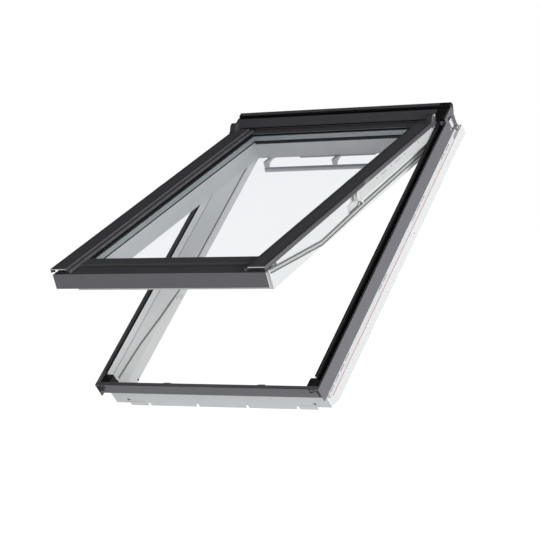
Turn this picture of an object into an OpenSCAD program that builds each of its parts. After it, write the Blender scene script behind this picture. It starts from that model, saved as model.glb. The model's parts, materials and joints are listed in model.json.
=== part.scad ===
// Top-hung and centre-pivot roof window, shown propped open.
// Shapes are drawn flat on the roof plane: X across, Y up the slope, Z out of the roof, with Z = 0 at
// the outer edge of the frame covers. The whole window is then turned to the roof pitch, and its origin
// is the middle of the sill's back face.

/* [Roof] */
// Pitch of the roof in degrees
roof_pitch = 45; // [15:1:75]
// Angle the sash is propped open at
sash_open = 21; // [0:1:44]

/* [Frame] */
// Width over the side covers
frame_w = 780; // [620:10:1160]
// Length from the sill cover to the back of the hood
frame_l = 1178; // [920:1:1600]
// Depth of the white frame below the cover line
frame_depth = 106; // [102:1:130]
// Width of a side member
member_w = 36; // [30:1:50]
// Thickness of the sill at its back
sill_w = 37; // [37:1:60]
// Thickness of the head member up the slope
head_w = 48; // [30:1:49]
// Radius of the fixing holes
fixing_r = 2.2; // [1.5:0.1:3]
// Depth of the fixing holes
fixing_depth = 25; // [10:1:30]

/* [Covers] */
// Thickness of the folded aluminium covers
sheet = 1.5; // [1:0.1:2]
// Height of the side flanges
side_flange = 49; // [40:1:60]
// Height of the sill cover's flange
sill_flange = 34; // [25:1:45]
// Height of the sash cover tops above the frame covers
cover_top = 32; // [30:1:36]
// Height of the sash's front flange
front_flange = 46; // [36:1:56]

/* [Sash] */
// Gap between the sash and the frame on each side
sash_gap = 4; // [3:0.5:6]
// Width of the sash side rails
rail_w = 46; // [40:1:60]
// Depth of the sash below the cover line
sash_depth = 64; // [56:1:66]

/* [Glazing] */
// Height of the glass face above the cover line
glass_face = 16.5; // [15:0.5:17]
// Thickness of the outer pane
pane_out = 4; // [3:1:6]
// Width of the cavity between the panes
cavity = 15; // [12:1:16]
// Thickness of the inner pane
pane_in = 5; // [3:1:6]

/* [Moving parts] */
// Radius of the top hinge pins
hinge_pin_r = 4; // [3:0.5:5]
// Radius of the centre pivot pins
pivot_pin_r = 3; // [2:0.5:3.5]
// Radial running clearance of every pin
pin_clearance = 0.05; // [0.02:0.01:0.1]
// Length of the ventilation bar
vent_bar_l = 524; // [400:2:540]
// Length of the handle grip
grip_l = 110; // [80:2:200]

/* [Hidden] */
$fn = 48;

// Frame lines
half_w = frame_w / 2;
side_inset = 12;                        // white frame behind the flange
side_out = half_w - side_inset;
side_in = side_out - member_w;
front_s = -3;                           // outer face of the sill cover
back_s = frame_l + front_s;             // back of the hood
head_back = back_s - 15;
head_front = head_back - head_w;
sill_front = 23;
sill_top = -26;                         // seat of the sill cover's tray
sill_in = sill_front + sill_w;
sill_wall = 40;                         // rebate wall that the sash closes against
rib_in = side_out - 15.5;               // upstand beside the arms
rib_out = side_out - 11.5;
rib_top = 5.5;
gasket_w = 2;                           // thickness of the gasket on that upstand
floor_n = -22;                          // floor that the arms lie over
floor_fall = 46;                        // how far it slopes down to the opening
channel_n = floor_n - sheet;            // seat of the side covers
step_n = -68;                           // step the sash's front rail closes over
side_face = half_w - 1;                 // face of the band below the edge rail
side_band_n = -73;                      // upper edge of that band
sill_cover_lip = 10;                     // top strip of the sill cover
corner_s = 42;                          // upper end of the corner blocks
corner_n = -45;
corner_x = side_in + 2;                 // inner side of their heads

// Hinge lines
hinge_s = back_s - 118;
hinge_n = -16;
hood_front = hinge_s + 37;              // the sash covers swing up in front of the hood
pivot_s = (front_s + back_s) / 2 + 2;
pivot_n = cover_top - 8;

// Sash lines
sash_out = side_in - sash_gap;
sash_in = sash_out - rail_w;
rebate = 16;                            // glass rebate in the rails
ledge_n = glass_face - pane_out - cavity - pane_in - 2;
tape_h = 2;
pane_half = sash_in + rebate - 5;
pane_s0 = 83;
pane_s1 = hinge_s - 6;
rail_top = 14;
top_rail_s0 = hinge_s - 17;
top_rail_s1 = hinge_s + 28;
bottom_rail_s0 = 48;
bottom_rail_s1 = 94;
gasket_h = 1.5;
gasket_top = glass_face + gasket_h;
sight_half = sash_in - 2.6;             // visible glass, half its width
sight_s0 = 87;
sight_s1 = hinge_s - 17.2;

// Sash cover lines
cover_out = side_out - 9.6;
strip_in = cover_out - 54.7;
lip_in = strip_in - 13.2;
cover_sheet = 1.2;
cover_drop = 12.7;
strip_n = cover_top - 5.5;
sash_front_s = -7.5;
shelf_n = 14;                           // top of the bottom cover
inner_shelf_n = 20;
clear = 0.5;                            // gap between covers on different bodies
joint_s = pivot_s;                      // lower covers end over the pivot
joint_gap = 21;                         // room for the lower covers to swing over the upper ones

// Arm lines
arm_in = side_in + 2;
arm_out = rib_in - 2.5;
arm_half_h = pivot_n - 6.5;
arm_wall = 2;
arm_foot_s = pivot_s - 28;
eye_r = 13;
pivot_eye_r = 6.5;

// Ventilation bar lines
vent_s = hinge_s + 9;
vent_n = -sash_depth - 6;
vent_shaft_r = 4;
vent_bar_s = vent_s - 48;
vent_bar_n = vent_n - 26;
vent_lug_x = 150;

// Handle lines
handle_s = 82;
handle_n = 10 - sash_depth;
handle_shaft_r = 4;
handle_bay_half = 182;                  // bay for the shaft under the bottom rail
handle_bay_n = 20 - sash_depth;
striker_x = 165;
claw_w = 6;

// ---- placing ----

module on_roof() {
    rotate([roof_pitch, 0, 0]) translate([0, -(sill_front + sill_in) / 2, frame_depth]) children();
}

module opened() {
    translate([0, hinge_s, hinge_n]) rotate([-sash_open, 0, 0]) translate([0, -hinge_s, -hinge_n])
        children();
}

// side is 1 on the right and -1 on the left
module on_side(side) {
    if (side > 0) children();
    else mirror([1, 0, 0]) children();
}

module on_both_sides() {
    for (side = [-1, 1]) on_side(side) children();
}

// an outline of [up the slope, out of the roof] drawn out across the window
module across(x0, x1) {
    translate([x0, 0, 0]) rotate([90, 0, 90]) linear_extrude(x1 - x0) children();
}

// an outline of [across, out of the roof] drawn out up the slope
module upslope(s0, s1) {
    translate([0, s1, 0]) rotate([90, 0, 0]) linear_extrude(s1 - s0) children();
}

module block(x, s, n) {
    translate([x[0], s[0], n[0]]) cube([x[1] - x[0], s[1] - s[0], n[1] - n[0]]);
}

// a rod or bore across the window at [s, n]
module rod(x0, x1, s, n, r) {
    translate([x0, s, n]) rotate([0, 90, 0]) cylinder(h = x1 - x0, r = r);
}

// a flat rectangular ring between two half widths and two pairs of ends
module ring(half_out, s_out, half_in, s_in, n) {
    difference() {
        block([-half_out, half_out], s_out, n);
        block([-half_in, half_in], s_in, [n[0] - 1, n[1] + 1]);
    }
}

// a band of constant height along a line of [s, n] points
module band(points, height) {
    lower = [for (p = points) [p[0], p[1] - height / 2]];
    upper = [for (i = [len(points) - 1:-1:0]) [points[i][0], points[i][1] + height / 2]];
    polygon(concat(lower, upper));
}

// ---- frame ----

fixing_s = [703, back_s - 162];
fixing_n = -90;
band_s0 = sill_front + 7;

module frame_side(side) {
    color("white") on_side(side) difference() {
        union() {
            upslope(sill_front, head_back) polygon([[side_in, -frame_depth],
                [side_out, -frame_depth], [side_out, channel_n], [rib_out, channel_n],
                [rib_out, rib_top], [rib_in, rib_top], [rib_in, floor_n], [side_in, floor_n]]);
            // band flush with the flange, with a slanted lower end
            translate([0, 0, -frame_depth]) linear_extrude(frame_depth + side_band_n)
                polygon([[side_out - 1, band_s0], [side_out, band_s0], [side_face, band_s0 + 22],
                    [side_face, head_back], [side_out - 1, head_back]]);
        }
        // steep slope from the upstand to the opening
        upslope(corner_s, head_front) polygon([[side_in - 1, floor_n + 1], [rib_in, floor_n + 1],
            [rib_in, floor_n], [side_in, floor_n - floor_fall], [side_in - 1, floor_n - floor_fall]]);
        // seat of the corner block
        block([side_in - 1, side_out + 1], [sill_front - 1, corner_s], [corner_n, 10]);
        // the upstand is lower below the hood
        block([rib_in - 1, rib_out + 1], [hood_front - 4, head_back + 1], [-6, rib_top + 1]);
        // pocket of the hinge eye
        block([side_in - 1, rib_in], [hinge_s - 18, hinge_s + 18], [hinge_n - eye_r - 3, 10]);
        for (s = fixing_s) rod(side_face - fixing_depth, side_face + 1, s, fixing_n, fixing_r);
    }
}

module frame_head() {
    color("white") across(-side_in, side_in) polygon([[head_front, -frame_depth],
        [head_back, -frame_depth], [head_back, floor_n], [head_front + 8, floor_n],
        [head_front, floor_n - 8]]);
}

sill_hole_x = 328;
sill_hole_n = -92;
notch_x = [-261, -87, 87, 261];
sill_lip = 11;
wall_top = sill_top - 14;               // top of the rebate wall
wall_run = 6;                           // how far that wall leans back
wall_lean = wall_run / (wall_top - step_n);

module frame_sill() {
    color("white") difference() {
        union() {
            across(-side_in, side_in) polygon([[sill_front, -frame_depth], [sill_front, sill_top],
                [sill_front + 7, sill_top - 2], [sill_wall, wall_top], [sill_wall + wall_run, step_n],
                [sill_in, step_n], [sill_in, -frame_depth]]);
            // lip that hooks over the batten
            block([14 - side_in, side_in - 14], [sill_front, sill_front + 4],
                [-frame_depth - sill_lip, -frame_depth]);
        }
        for (x = [-sill_hole_x, sill_hole_x]) translate([x, sill_front - 1, sill_hole_n])
            rotate([-90, 0, 0]) cylinder(h = fixing_depth + 1, r = fixing_r);
        for (x = notch_x)
            block([x - 5, x + 5], [sill_front - 1, sill_front + 5],
                [-frame_depth - sill_lip - 1, -frame_depth + 1]);
        // short grooves near the ends
        on_both_sides() block([side_in - 72, side_in + 1], [sill_front - 1, sill_front + 2.5],
            [4 - frame_depth, 6 - frame_depth]);
    }
}

module frame_cover(side) {
    inner = half_w - 11;
    bend_n = -5;                        // the top slopes down to its inner bend
    foot = rib_out + gasket_w + 1;
    color("dimgray") on_side(side) difference() {
        upslope(front_s, hood_front - 4) polygon([[half_w, -side_flange], [half_w, 0],
            [half_w - 2, 0], [inner, bend_n], [inner, floor_n], [foot, floor_n], [foot, channel_n],
            [inner + sheet, channel_n], [inner + sheet, bend_n - 0.7], [half_w - 2.4, -sheet],
            [half_w - sheet, -sheet], [half_w - sheet, -side_flange]]);
        // the sill cover runs between the flanges
        block([rib_out, half_w - sheet], [front_s - 1, front_s + sheet], [-30, 1]);
        block([rib_out, half_w - sheet], [front_s - 1, sill_cover_lip], [-sheet - 0.5, 1]);
    }
}

module sill_cover() {
    inner = half_w - sheet;
    lip = sill_cover_lip;
    back = sill_front + 6;
    color("dimgray") difference() {
        across(-inner, inner) polygon([[front_s, -sill_flange], [front_s, 0], [lip, 0],
            [lip, sill_top + sheet], [back, sill_top + sheet], [back, sill_top - 1.7],
            [back - sheet, sill_top - 1.2], [back - sheet, sill_top], [lip - sheet, sill_top],
            [lip - sheet, -sheet], [front_s + sheet, -sheet], [front_s + sheet, -sill_flange]]);
        // the side covers and the corner blocks pass the ends of the tray
        on_both_sides() block([corner_x, half_w], [front_s + sheet, 40], [sill_top - 4, -sheet]);
        // drain slots
        on_both_sides() block([side_in + 14, side_in + 28], [front_s - 1, front_s + sheet + 1],
            [-14, -9]);
    }
}

module frame_gasket(side) {
    top = rib_top + 1.5;
    color("black") on_side(side) upslope(corner_s, hood_front - 4) polygon([[rib_out, channel_n],
        [rib_out + gasket_w, channel_n], [rib_out + gasket_w, rib_top], [rib_out + 1, top],
        [rib_in, top], [rib_in, rib_top], [rib_out, rib_top]]);
}

module sill_gasket() {
    depth = [4.5, 20];                  // its upper and lower edge below the wall's top
    color("black") across(-side_in, side_in) polygon([
        [sill_wall + depth[0] * wall_lean, wall_top - depth[0]], [sill_wall + 7, wall_top - 6.5],
        [sill_wall + 11, wall_top - 19], [sill_wall + depth[1] * wall_lean, wall_top - depth[1]]]);
}

module corner_block(side) {
    color("black") on_side(side) difference() {
        union() {
            block([side_in + 1, rib_out + gasket_w], [sill_front, corner_s], [corner_n, sill_top]);
            // head that fills the end of the tray
            translate([0, 0, sill_top]) linear_extrude(-3 - sill_top) polygon([[corner_x, 8],
                [corner_x + 7, 1], [rib_out + gasket_w, 1], [rib_out + gasket_w, corner_s],
                [corner_x + 2, corner_s], [corner_x, corner_s - 6]]);
        }
        block([corner_x + 6, rib_in - 4], [9, 32], [-9, 0]);
    }
}

// runs of short slots along the edge rail
slot_runs = [[36, 196], [430, 510], [720, 840], [985, 1065]];
slot_step = 40;
slot_l = 31;

module edge_rail(side) {
    color("whitesmoke") on_side(side) difference() {
        block([side_out, half_w - sheet], [sill_front + 6, hood_front - 4], [side_band_n + 1, -42]);
        for (run = slot_runs) for (s = [run[0]:slot_step:run[1] - slot_l])
            block([half_w - 6, half_w], [s, s + slot_l], [-side_flange - 9, -side_flange - 5]);
    }
}

// ---- hood over the head ----

hood_half = half_w - 7;

groove_s = hood_front + 43;             // water groove across the hood
groove_w = 9;
groove_n = 4;

module hood_line(t) {
    polygon([[hood_front, 4], [hood_front, 18], [groove_s, 18], [groove_s, groove_n],
        [groove_s + groove_w, groove_n], [groove_s + groove_w, 20], [back_s - 13, 20],
        [back_s, -24], [back_s, -50], [back_s - t, -50], [back_s - t, -24], [back_s - 14, 20 - t],
        [groove_s + groove_w + t, 20 - t], [groove_s + groove_w + t, groove_n - t],
        [groove_s - t, groove_n - t], [groove_s - t, 18 - t], [hood_front + t, 18 - t],
        [hood_front + t, 4]]);
}

module hood() {
    color("dimgray") difference() {
        across(-hood_half, hood_half) hood_line(sheet);
        // the back apron stops short of the end plates
        on_both_sides() block([hood_half - 45, hood_half + 1], [groove_s + groove_w + 3, back_s + 1],
            [-51, 8]);
    }
}

module hood_cap(side) {
    color("black") on_side(side) across(hood_half, hood_half + 5) polygon([[hood_front, 4],
        [hood_front, 18], [groove_s, 18], [groove_s, groove_n], [groove_s + groove_w, groove_n],
        [groove_s + groove_w, 20], [back_s - 13, 20], [back_s - 10, 8], [groove_s + 14, -10],
        [hood_front + 8, -10], [hood_front + 8, 4]]);
}

plate_bosses = [[hood_front + 1.5, -32], [hood_front + 36, -56]];

module hood_end(side) {
    face = half_w - 2;
    color("gray") on_side(side) {
        across(face, half_w) difference() {
            polygon([[hood_front - 4, -49], [hood_front - 4, 14], [hood_front + 34, 14],
                [hood_front + 56, 14], [hood_front + 56, -4], [hood_front + 49, -8],
                [hood_front + 42, -38], [hood_front + 42, -64], [hood_front + 28, -64],
                [hood_front + 24, -49]]);
            polygon([[hood_front + 11, 5], [hood_front + 34, -6], [hood_front + 34, -46],
                [hood_front + 8, -40]]);
        }
        for (p = plate_bosses) rod(side_out, face, p[0], p[1], 4);
    }
}

module hood_clips() {
    clip_x = [-half_w + 130, 0, half_w - 130];
    color("silver") for (x = clip_x)
        block([x - 15, x + 15], [groove_s, groove_s + groove_w - 1], [floor_n, groove_n - sheet]);
}

module hood_screws() {
    color("silver") on_both_sides() for (p = plate_bosses) rod(half_w, half_w + 1.5, p[0], p[1], 3.2);
}

// ---- hardware on the frame ----

module hinge_bracket(side) {
    plate = 2;
    color("silver") on_side(side) {
        across(rib_in - plate, rib_in) difference() {
            polygon([[hinge_s - 40, floor_n], [hinge_s - 18, floor_n],
                [hinge_s - 18, hinge_n - eye_r], [hinge_s + 18, hinge_n - eye_r],
                [hinge_s + 18, floor_n], [hinge_s + 30, floor_n], [hinge_s + 30, -8],
                [hinge_s + 10, 0], [hinge_s - 10, 0], [hinge_s - 40, -8]]);
            for (s = [hinge_s - 30, hinge_s + 22]) translate([s, -15]) circle(r = 2.5);
        }
        rod(arm_in - 0.5, rib_in - plate, hinge_s, hinge_n, hinge_pin_r);
    }
}

module striker_plates() {
    slope = (sill_top - 2 - wall_top) / (sill_wall - sill_front - 7);
    foot = [sill_wall - 6.5, wall_top + 6.5 * slope];
    thick = 3;
    color("silver") on_both_sides() across(striker_x - 11, striker_x + 11) polygon([foot,
        [sill_wall, wall_top], [sill_wall + 3.5 * wall_lean, wall_top - 3.5],
        [sill_wall + 5, wall_top - 3.5], [sill_wall + 4, wall_top + 4],
        [foot[0] + 3, foot[1] + thick]]);
}

module arm_catches() {
    proud = 1.6;
    color("silver") on_both_sides() across(side_in - proud, side_in) difference() {
        polygon([[424, -84], [432, -76], [456, -92], [460, -101], [444, -101], [436, -90]]);
        translate([450, -96]) circle(r = 2);
    }
}

// ---- arms ----

module arm(side) {
    color("silver") on_side(side) difference() {
        union() {
            upslope(arm_foot_s, hinge_s - 14) polygon([[arm_out, -arm_half_h],
                [arm_out, arm_half_h], [arm_in, arm_half_h], [arm_in, arm_half_h - arm_wall],
                [arm_out - arm_wall, arm_half_h - arm_wall],
                [arm_out - arm_wall, arm_wall - arm_half_h], [arm_in, arm_wall - arm_half_h],
                [arm_in, -arm_half_h]]);
            block([arm_in, arm_out], [hinge_s - 30, hinge_s], [-arm_half_h, arm_half_h - 8]);
            rod(arm_in, arm_out, hinge_s, hinge_n, eye_r);
            // ear that carries the sash
            block([arm_in, arm_in + 8], [pivot_s - 12, pivot_s + 3], [arm_half_h - 8, pivot_n - 2]);
            rod(arm_in, arm_in + 8, pivot_s, pivot_n, pivot_eye_r);
        }
        rod(arm_in - 1, arm_out + 1, hinge_s, hinge_n, hinge_pin_r + pin_clearance);
        rod(arm_in - 1, arm_out + 1, pivot_s, pivot_n, pivot_pin_r + pin_clearance);
        // round and slotted holes in the outer face
        for (s = [80, 172, 264, 356]) rod(arm_out - 3, arm_out + 1, pivot_s + s, 5, 2.6);
        for (s = [104, 196]) block([arm_out - 3, arm_out + 1], [pivot_s + s, pivot_s + s + 38], [3, 7]);
    }
}

spring_r = 5.9;

module balance_springs() {
    inset = arm_wall + spring_r + 0.1;
    color("darkgray") on_both_sides() translate([arm_out - inset, pivot_s + 40, 0])
        rotate([-90, 0, 0]) cylinder(h = hinge_s - pivot_s - 110, r = spring_r);
}

// section of a side cover as a folded sheet, down to its inner lip at foot_n
module side_cover_line(foot_n) {
    t = cover_sheet;
    polygon([[cover_out, cover_top - cover_drop], [cover_out, cover_top], [strip_in, cover_top],
        [strip_in, strip_n], [lip_in, strip_n], [lip_in, foot_n], [lip_in + t, foot_n],
        [lip_in + t, strip_n - t], [strip_in + t, strip_n - t], [strip_in + t, cover_top - t],
        [cover_out - t, cover_top - t], [cover_out - t, cover_top - cover_drop]]);
}

module upper_cover(side) {
    start = joint_s + joint_gap;
    color("dimgray") on_side(side)
        upslope(start, hinge_s) side_cover_line(gasket_top + clear);
}

clip_l = 26;

module upper_cover_clips() {
    color("gray") on_both_sides() for (s = [60, 210, 360])
        block([arm_in + 1, arm_out - 1], [pivot_s + s, pivot_s + s + clip_l],
            [arm_half_h, cover_top - cover_sheet]);
}

cap_s = hinge_s - 21;
cap_x = cover_out - 14;

module cover_cap(side) {
    color("dimgray") on_side(side) {
        translate([cap_x, cap_s, cover_top]) cylinder(h = 3, r = 14);
        block([cap_x - 14, cap_x + 14], [cap_s - 12, cap_s], [cover_top, cover_top + 3]);
    }
}

module cap_screws() {
    color("silver") on_both_sides() translate([cap_x, cap_s, cover_top + 3])
        cylinder(h = 1.5, r = 3.5);
}

// ---- sash ----

module sash_side(side) {
    color("white") on_side(side) upslope(bottom_rail_s1, top_rail_s0) polygon([
        [sash_in, -sash_depth], [sash_out, -sash_depth], [sash_out, rail_top],
        [sash_in + rebate, rail_top], [sash_in + rebate, ledge_n], [sash_in, ledge_n]]);
}

module sash_head_rail() {
    color("white") across(-sash_out, sash_out) polygon([[top_rail_s0, -sash_depth],
        [hinge_s + 15, -sash_depth], [top_rail_s1, -50], [top_rail_s1, 6], [hinge_s + 19, rail_top],
        [top_rail_s0 + rebate, rail_top], [top_rail_s0 + rebate, ledge_n],
        [top_rail_s0, ledge_n]]);
}

module sash_bottom_rail() {
    bay_s = handle_s - 12;
    color("white") difference() {
        across(-sash_out, sash_out) polygon([[bottom_rail_s0 + 4, -sash_depth],
            [bottom_rail_s1, -sash_depth], [bottom_rail_s1, ledge_n],
            [bottom_rail_s1 - rebate, ledge_n], [bottom_rail_s1 - rebate, 6],
            [bottom_rail_s0 + 2, 6], [bottom_rail_s0, -12]]);
        // bay of the lock shaft, and a slot for each claw
        block([-handle_bay_half, handle_bay_half], [bay_s, bottom_rail_s1 + 1],
            [-sash_depth - 1, handle_bay_n]);
        on_both_sides() block([striker_x - claw_w, striker_x + claw_w],
            [bottom_rail_s0 - 1, handle_s + 3], [4 - sash_depth, 46 - sash_depth]);
    }
}

module outer_pane() {
    color("lightblue", 0.4) block([-pane_half, pane_half], [pane_s0, pane_s1],
        [glass_face - pane_out, glass_face]);
}

module inner_pane() {
    color("lightblue", 0.4) block([-pane_half, pane_half], [pane_s0, pane_s1],
        [ledge_n + tape_h, ledge_n + tape_h + pane_in]);
}

spacer_n = [ledge_n + tape_h + pane_in, glass_face - pane_out];
spacer_half = sash_in + 3;

module spacer_bar() {
    color("silver") ring(spacer_half, [pane_s0 + 8, pane_s1 - 8], spacer_half - 8,
        [pane_s0 + 16, pane_s1 - 16], spacer_n);
}

module edge_seal() {
    color("black") ring(pane_half, [pane_s0, pane_s1], spacer_half, [pane_s0 + 8, pane_s1 - 8],
        spacer_n);
}

module bedding_tape() {
    color("black") ring(pane_half, [pane_s0, pane_s1], sash_in, [bottom_rail_s1, top_rail_s0],
        [ledge_n, ledge_n + tape_h]);
}

module glazing_gasket() {
    color("black") ring(sash_in + rebate - 0.5, [bottom_rail_s1 - rebate + 0.5, pane_s1 + 4],
        sight_half, [sight_s0, sight_s1], [glass_face, gasket_top]);
}

module lower_cover(side) {
    color("dimgray") on_side(side) upslope(sash_front_s - 1.5, joint_s) side_cover_line(gasket_top);
}

module bottom_cover() {
    t = sheet;
    flange_half = cover_out - 3.4;
    color("dimgray") {
        across(-flange_half, flange_half) polygon([[sash_front_s, shelf_n - front_flange],
            [sash_front_s, shelf_n], [40, shelf_n], [40, shelf_n - t], [sash_front_s + t, shelf_n - t],
            [sash_front_s + t, shelf_n - front_flange]]);
        across(clear - lip_in, lip_in - clear) polygon([[40 - t, shelf_n], [40, shelf_n],
            [40, 9], [48, 9], [48, inner_shelf_n], [sight_s0, inner_shelf_n], [sight_s0, gasket_top],
            [sight_s0 - t, gasket_top], [sight_s0 - t, inner_shelf_n - t], [48 + t, inner_shelf_n - t],
            [48 + t, 9 - t], [40 - t, 9 - t]]);
    }
}

module head_cover() {
    t = sheet;
    back = hinge_s + 20;
    color("dimgray") across(clear - lip_in, lip_in - clear) polygon([[sight_s1, gasket_top],
        [sight_s1, inner_shelf_n], [back, inner_shelf_n], [back, inner_shelf_n - t],
        [back - 2, inner_shelf_n - t], [back - 2, rail_top], [back - 3.5, rail_top],
        [back - 3.5, inner_shelf_n - t], [sight_s1 + t, inner_shelf_n - t],
        [sight_s1 + t, gasket_top]]);
}

module lower_cover_clips() {
    clip_x = [sash_out - 22, sash_out - 2];
    color("gray") {
        on_both_sides() for (s = [140, 300, pivot_s - 110])
            block(clip_x, [s, s + clip_l], [rail_top, cover_top - cover_sheet]);
        for (x = [-180, 0, 180])
            block([x - 15, x + 15], [54, 74], [6, inner_shelf_n - sheet]);
    }
}

module cover_end_lips() {
    tip = sash_front_s - 1.5;
    color("silver") on_both_sides()
        block([strip_in, cover_out], [tip - 1.2, tip], [cover_top - 3, cover_top]);
}

module bottom_cover_ends() {
    flange_half = cover_out - 3.4;
    color("white") on_both_sides() block([flange_half, flange_half + 2.5],
        [sash_front_s, front_s - 1.5], [shelf_n - front_flange, shelf_n - 2]);
}

seal_line_on_sash = [[bottom_rail_s1 - 40, -10], [200, -32], [336, -52], [pivot_s, -46],
    [hinge_s, -42]];

module side_seals() {
    proud = 1.8;
    color("dimgray") on_both_sides() across(sash_out, sash_out + proud) band(seal_line_on_sash, 7);
}

module pivot_plates() {
    color("silver") on_both_sides() {
        across(sash_out, sash_out + 3) difference() {
            union() {
                translate([pivot_s, pivot_n]) circle(r = pivot_eye_r);
                polygon([[pivot_s - 6, pivot_n], [pivot_s + 6, pivot_n], [pivot_s + 14, 8],
                    [pivot_s + 14, -34], [pivot_s - 78, -34], [pivot_s - 78, -18],
                    [pivot_s - 20, -10], [pivot_s - 14, 8]]);
            }
            for (s = [pivot_s - 66, pivot_s - 34, pivot_s + 4]) translate([s, -26]) circle(r = 2.5);
        }
        rod(sash_out, arm_in + 10, pivot_s, pivot_n, pivot_pin_r);
    }
}

// an eye for a shaft, hanging from the face at top_n
module lug_line(s, n, top_n, shaft_r) {
    wall = 2;
    difference() {
        union() {
            translate([s, n]) circle(r = shaft_r + wall);
            translate([s - shaft_r - wall, n]) square([2 * (shaft_r + wall), top_n - n]);
        }
        translate([s, n]) circle(r = shaft_r + pin_clearance);
    }
}

module shaft_lugs() {
    claw_lug_x = striker_x - 20;
    color("white") on_both_sides() {
        across(vent_lug_x - 3, vent_lug_x + 3) lug_line(vent_s, vent_n, -sash_depth, vent_shaft_r);
        across(claw_lug_x - 3, claw_lug_x + 3)
            lug_line(handle_s, handle_n, handle_bay_n, handle_shaft_r);
    }
}

// ---- ventilation bar ----

bracket_x = [-vent_bar_l / 2 + 7, 0, vent_bar_l / 2 - 7];
bracket_w = 12;

module vent_bar() {
    h = 16;
    d = 14;
    color("white") across(-vent_bar_l / 2, vent_bar_l / 2) translate([vent_bar_s, vent_bar_n]) {
        square([d, h - d], center = true);
        for (end = [-1, 1]) translate([0, end * (h - d) / 2]) circle(r = d / 2);
    }
}

module vent_brackets() {
    top_n = vent_bar_n + 8;
    foot_s = vent_bar_s - 4;
    color("white") for (x = bracket_x) across(x - bracket_w / 2, x + bracket_w / 2)
        difference() {
            union() {
                translate([vent_s, vent_n]) circle(r = 5.5);
                translate([foot_s, vent_n - 5]) square([vent_s - foot_s, 8]);
                polygon([[foot_s, vent_n + 3], [foot_s + 34, vent_n - 5], [foot_s + 18, vent_n - 9],
                    [foot_s + 10, top_n], [foot_s, top_n]]);
            }
            translate([vent_s, vent_n]) circle(r = vent_shaft_r + pin_clearance);
        }
}

module vent_flap() {
    half = vent_lug_x - 12;
    color("white") {
        rod(-vent_bar_l / 2, vent_bar_l / 2, vent_s, vent_n, vent_shaft_r);
        on_both_sides() block([bracket_w / 2 + 2, half], [top_rail_s0 + 2, vent_s - 2],
            [vent_n + 1, vent_n + 3.5]);
    }
}

// ---- handle and lock ----

module handle_shaft() {
    color("silver") rod(-striker_x - 8, striker_x + 8, handle_s, handle_n, handle_shaft_r);
}

grip_s = handle_s + 38;
grip_n = handle_n - 26;
grip_r = 6;

module handle_grip() {
    arm_x = grip_l / 2 - 12;
    color("silver") {
        rod(-grip_l / 2, grip_l / 2, grip_s, grip_n, grip_r);
        on_both_sides() across(arm_x - 4, arm_x + 4) difference() {
            union() {
                translate([handle_s, handle_n]) circle(r = 7);
                polygon([[handle_s - 3, handle_n - 6], [grip_s - 3, grip_n - 4],
                    [grip_s + 3, grip_n + 4], [handle_s + 3, handle_n + 6]]);
            }
            translate([handle_s, handle_n]) circle(r = handle_shaft_r + pin_clearance);
        }
    }
}

module lock_claws() {
    color("silver") on_both_sides() across(striker_x - claw_w / 2, striker_x + claw_w / 2)
        difference() {
            union() {
                translate([handle_s, handle_n]) circle(r = 7);
                polygon([[handle_s - 4, handle_n - 5], [handle_s - 31, handle_n + 13],
                    [handle_s - 32, handle_n + 22], [handle_s - 27, handle_n + 20],
                    [handle_s - 26, handle_n + 17], [handle_s + 3, handle_n + 6]]);
            }
            translate([handle_s, handle_n]) circle(r = handle_shaft_r + pin_clearance);
        }
}

// ---- drawing ----

on_roof() frame_side(-1);  // frame_side_left
on_roof() frame_side(1);  // frame_side_right
on_roof() frame_head();
on_roof() frame_sill();
on_roof() frame_cover(-1);  // frame_cover_left
on_roof() frame_cover(1);  // frame_cover_right
on_roof() sill_cover();
on_roof() hood();
on_roof() hood_cap(-1);  // hood_cap_left
on_roof() hood_cap(1);  // hood_cap_right
on_roof() hood_end(-1);  // hood_end_left
on_roof() hood_end(1);  // hood_end_right
on_roof() hood_clips();
on_roof() hood_screws();
on_roof() frame_gasket(-1);  // frame_gasket_left
on_roof() frame_gasket(1);  // frame_gasket_right
on_roof() sill_gasket();
on_roof() corner_block(-1);  // corner_block_left
on_roof() corner_block(1);  // corner_block_right
on_roof() edge_rail(-1);  // edge_rail_left
on_roof() edge_rail(1);  // edge_rail_right
on_roof() hinge_bracket(-1);  // hinge_bracket_left
on_roof() hinge_bracket(1);  // hinge_bracket_right
on_roof() striker_plates();
on_roof() arm_catches();
on_roof() opened() arm(-1);  // arm_left
on_roof() opened() arm(1);  // arm_right
on_roof() opened() balance_springs();
on_roof() opened() upper_cover(-1);  // upper_cover_left
on_roof() opened() upper_cover(1);  // upper_cover_right
on_roof() opened() upper_cover_clips();
on_roof() opened() cover_cap(-1);  // cover_cap_left
on_roof() opened() cover_cap(1);  // cover_cap_right
on_roof() opened() cap_screws();
on_roof() opened() sash_side(-1);  // sash_side_left
on_roof() opened() sash_side(1);  // sash_side_right
on_roof() opened() sash_head_rail();
on_roof() opened() sash_bottom_rail();
on_roof() opened() outer_pane();
on_roof() opened() inner_pane();
on_roof() opened() spacer_bar();
on_roof() opened() edge_seal();
on_roof() opened() bedding_tape();
on_roof() opened() glazing_gasket();
on_roof() opened() lower_cover(-1);  // lower_cover_left
on_roof() opened() lower_cover(1);  // lower_cover_right
on_roof() opened() bottom_cover();
on_roof() opened() head_cover();
on_roof() opened() lower_cover_clips();
on_roof() opened() cover_end_lips();
on_roof() opened() bottom_cover_ends();
on_roof() opened() side_seals();
on_roof() opened() pivot_plates();
on_roof() opened() shaft_lugs();
on_roof() opened() vent_bar();
on_roof() opened() vent_brackets();
on_roof() opened() vent_flap();
on_roof() opened() handle_shaft();
on_roof() opened() handle_grip();
on_roof() opened() lock_claws();
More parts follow.
